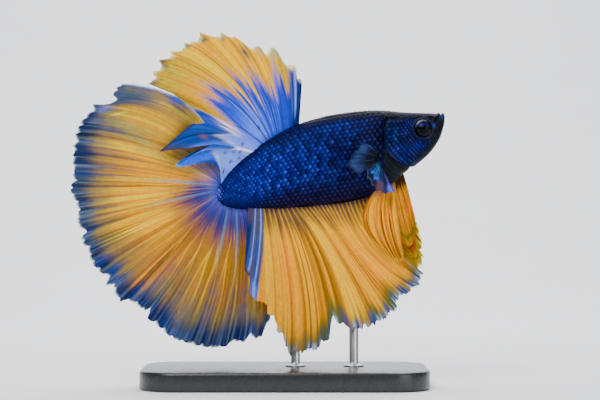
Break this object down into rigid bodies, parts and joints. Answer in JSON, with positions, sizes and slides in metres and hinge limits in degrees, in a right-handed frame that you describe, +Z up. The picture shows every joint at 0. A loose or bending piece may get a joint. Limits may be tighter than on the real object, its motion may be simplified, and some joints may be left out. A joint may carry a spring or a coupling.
{
  "type": "betta fish model on a display stand",
  "caption": "Life-size long-finned betta fish with a scaled blue body and spread, pleated yellow fins, held over a flat rounded plate by slim rods.",
  "frame": {"origin": "centre of the underside of the stand's plate", "axes": "+X towards the fish's snout, +Y to the fish's left side, +Z up"},
  "size_m": [0.0785, 0.032, 0.0746],
  "materials": {
    "blue_skin": "deep royal-blue scaled skin, satin with bright blue glints",
    "head_skin": "dark slate skin with royal-blue patches on the gill covers, satin",
    "eye": "black pupil in a dark blue iris with a pale rim, wet gloss",
    "yellow_fin": "thin ray-ribbed membrane, golden yellow with blue root and margin, satin",
    "clear_fin": "thin pale-blue membrane with brighter rays, satin",
    "stand_black": "satin black with a polished edge",
    "stand_steel": "fine brushed"
  },
  "bodies": {
    "root": {"head": "head_skin", "lower_jaw": "head_skin", "gill_cover_right": "head_skin", "gill_cover_left": "head_skin", "eye_right": "eye", "eye_left": "eye", "trunk": "blue_skin", "tail_stem": "blue_skin", "dorsal_fin": "yellow_fin", "caudal_fin": "yellow_fin", "anal_fin": "yellow_fin", "pectoral_fin_right": "clear_fin", "pectoral_fin_left": "clear_fin", "pelvic_fin_right": "yellow_fin", "pelvic_fin_left": "yellow_fin", "stand_base": "stand_black", "stand_rod_front": "stand_steel", "stand_rod_rear": "stand_steel"}
  },
  "joints": []
}
